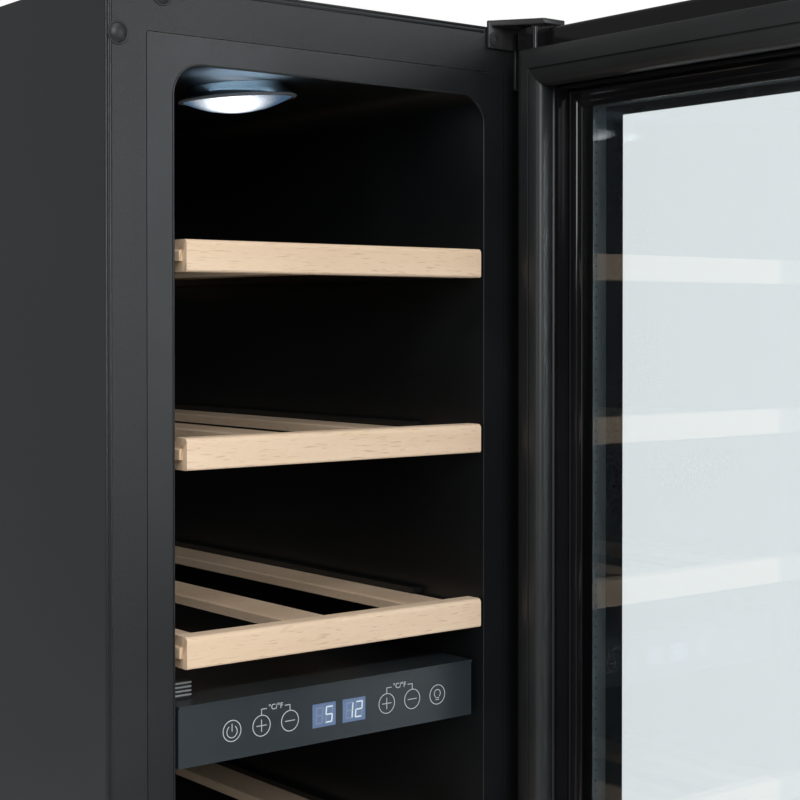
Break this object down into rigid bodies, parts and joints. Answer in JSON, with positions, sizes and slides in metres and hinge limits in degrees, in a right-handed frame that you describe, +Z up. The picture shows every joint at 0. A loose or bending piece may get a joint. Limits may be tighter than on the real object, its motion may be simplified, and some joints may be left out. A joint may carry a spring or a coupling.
{
  "type": "wine cooler",
  "caption": "Slim undercounter wine cooler: insulated cabinet, hinged double-glazed door standing open, sliding beech shelves, touch panel between its zones, ceiling lamps, levelling feet.",
  "frame": {"origin": "on the floor, under the middle of the cooler's bounding box with the door standing open at 90 degrees", "axes": "+Z up, +Y from the front of the cabinet to its back, +X to the hinge side, the viewer's right when facing the front"},
  "size_m": [0.3424, 0.8202, 0.8237],
  "materials": {
    "charcoal_side_steel": "satin charcoal powder coat with a fine grain",
    "black_flange_steel": "satin black textured paint",
    "galvanised_steel": "dull galvanised sheet",
    "black_liner_plastic": "vacuum-formed satin black plastic",
    "insulation_foam": "rigid polyurethane foam",
    "slate_panel_plastic": "dark slate touch panel, satin",
    "blue_display": "backlit blue segment display",
    "circuit_board": "green solder mask",
    "lamp_ring_plastic": "white ring",
    "lamp_diffuser": "frosted diffuser, lit cool white",
    "black_trim_plastic": "satin black moulding",
    "evaporator_aluminium": "rolled aluminium",
    "sensor_plastic": "white moulding",
    "compressor_black": "gloss black painted steel can",
    "copper_pipe": "bare copper",
    "hinge_steel": "black painted steel plate",
    "bright_steel": "zinc-plated steel",
    "beech": "planed untreated beech",
    "door_frame_black": "gloss black moulding",
    "gasket_rubber": "soft dark grey PVC",
    "clear_glass": "clear tempered glass with a black printed border",
    "spacer_aluminium": "perforated anodised spacer",
    "bush_plastic": "natural acetal",
    "foot_plastic": "black rubber-faced foot"
  },
  "bodies": {
    "cabinet": {"left_side_panel": "charcoal_side_steel", "right_side_panel": "charcoal_side_steel", "top_panel": "charcoal_side_steel", "front_frame": "black_flange_steel", "back_panel": "galvanised_steel", "rear_grille": "galvanised_steel", "base_pan": "galvanised_steel", "plinth_grille": "black_trim_plastic", "foam_insulation": "insulation_foam", "inner_liner": "black_liner_plastic", "plug_caps": "black_flange_steel", "zone_divider": "black_liner_plastic", "control_housing": "slate_panel_plastic", "control_face": "slate_panel_plastic", "displays": "blue_display", "control_board": "circuit_board", "lamp_bases": "lamp_ring_plastic", "lamp_lenses": "lamp_diffuser", "upper_air_cover": "black_liner_plastic", "lower_air_cover": "black_liner_plastic", "fan_motors": "black_trim_plastic", "evaporator_plates": "evaporator_aluminium", "temperature_sensors": "sensor_plastic", "compressor": "compressor_black", "condenser": "evaporator_aluminium", "condenser_fan_shroud": "black_trim_plastic", "refrigerant_pipes": "copper_pipe", "drip_tray": "black_trim_plastic", "mains_inlet": "black_trim_plastic", "top_hinge_bracket": "hinge_steel", "bottom_hinge_bracket": "hinge_steel", "hinge_pins": "bright_steel", "hinge_screws": "bright_steel"},
    "door": {"door_frame": "door_frame_black", "door_gasket": "gasket_rubber", "inner_retainer": "door_frame_black", "outer_glass": "clear_glass", "inner_glass": "clear_glass", "glass_spacer": "spacer_aluminium", "hinge_bushes": "bush_plastic", "door_handle": "hinge_steel", "handle_screws": "bright_steel"},
    "shelf_1": {"shelf_1_batten": "beech", "shelf_1_rails": "beech"},
    "shelf_2": {"shelf_2_batten": "beech", "shelf_2_rails": "beech"},
    "shelf_3": {"shelf_3_batten": "beech", "shelf_3_rails": "beech"},
    "shelf_4": {"shelf_4_batten": "beech", "shelf_4_rails": "beech"},
    "shelf_5": {"shelf_5_batten": "beech", "shelf_5_rails": "beech"},
    "upper_fan": {"upper_fan_rotor": "black_trim_plastic"},
    "lower_fan": {"lower_fan_rotor": "black_trim_plastic"},
    "condenser_fan": {"condenser_fan_rotor": "black_trim_plastic"},
    "foot_front_left": {"foot_front_left": "foot_plastic"},
    "foot_front_right": {"foot_front_right": "foot_plastic"},
    "foot_rear_left": {"foot_rear_left": "foot_plastic"},
    "foot_rear_right": {"foot_rear_right": "foot_plastic"}
  },
  "joints": [
    {"name": "door_hinge", "type": "hinge", "parent": "cabinet", "child": "door", "pos_m": [0.10885, -0.13005, 0.46], "axis": [0, 0, 1], "range_deg": [-90, 3]},
    {"name": "shelf_1_slide", "type": "slide", "parent": "cabinet", "child": "shelf_1", "axis": [0, -1, 0], "range_m": [0, 0.25]},
    {"name": "shelf_2_slide", "type": "slide", "parent": "cabinet", "child": "shelf_2", "axis": [0, -1, 0], "range_m": [0, 0.25]},
    {"name": "shelf_3_slide", "type": "slide", "parent": "cabinet", "child": "shelf_3", "axis": [0, -1, 0], "range_m": [0, 0.25]},
    {"name": "shelf_4_slide", "type": "slide", "parent": "cabinet", "child": "shelf_4", "axis": [0, -1, 0], "range_m": [0, 0.25]},
    {"name": "shelf_5_slide", "type": "slide", "parent": "cabinet", "child": "shelf_5", "axis": [0, -1, 0], "range_m": [0, 0.18]},
    {"name": "upper_fan_spin", "type": "hinge", "parent": "cabinet", "child": "upper_fan", "pos_m": [-0.0237, 0.3381, 0.6], "axis": [0, 1, 0], "continuous": true},
    {"name": "lower_fan_spin", "type": "hinge", "parent": "cabinet", "child": "lower_fan", "pos_m": [-0.0237, 0.3381, 0.3], "axis": [0, 1, 0], "continuous": true},
    {"name": "condenser_fan_spin", "type": "hinge", "parent": "cabinet", "child": "condenser_fan", "pos_m": [-0.0842, 0.2961, 0.084], "axis": [0, 1, 0], "continuous": true},
    {"name": "foot_front_left_screw", "type": "slide", "parent": "cabinet", "child": "foot_front_left", "axis": [0, 0, 1], "range_m": [-0.012, 0]},
    {"name": "foot_front_right_screw", "type": "slide", "parent": "cabinet", "child": "foot_front_right", "axis": [0, 0, 1], "range_m": [-0.012, 0]},
    {"name": "foot_rear_left_screw", "type": "slide", "parent": "cabinet", "child": "foot_rear_left", "axis": [0, 0, 1], "range_m": [-0.012, 0]},
    {"name": "foot_rear_right_screw", "type": "slide", "parent": "cabinet", "child": "foot_rear_right", "axis": [0, 0, 1], "range_m": [-0.012, 0]}
  ]
}
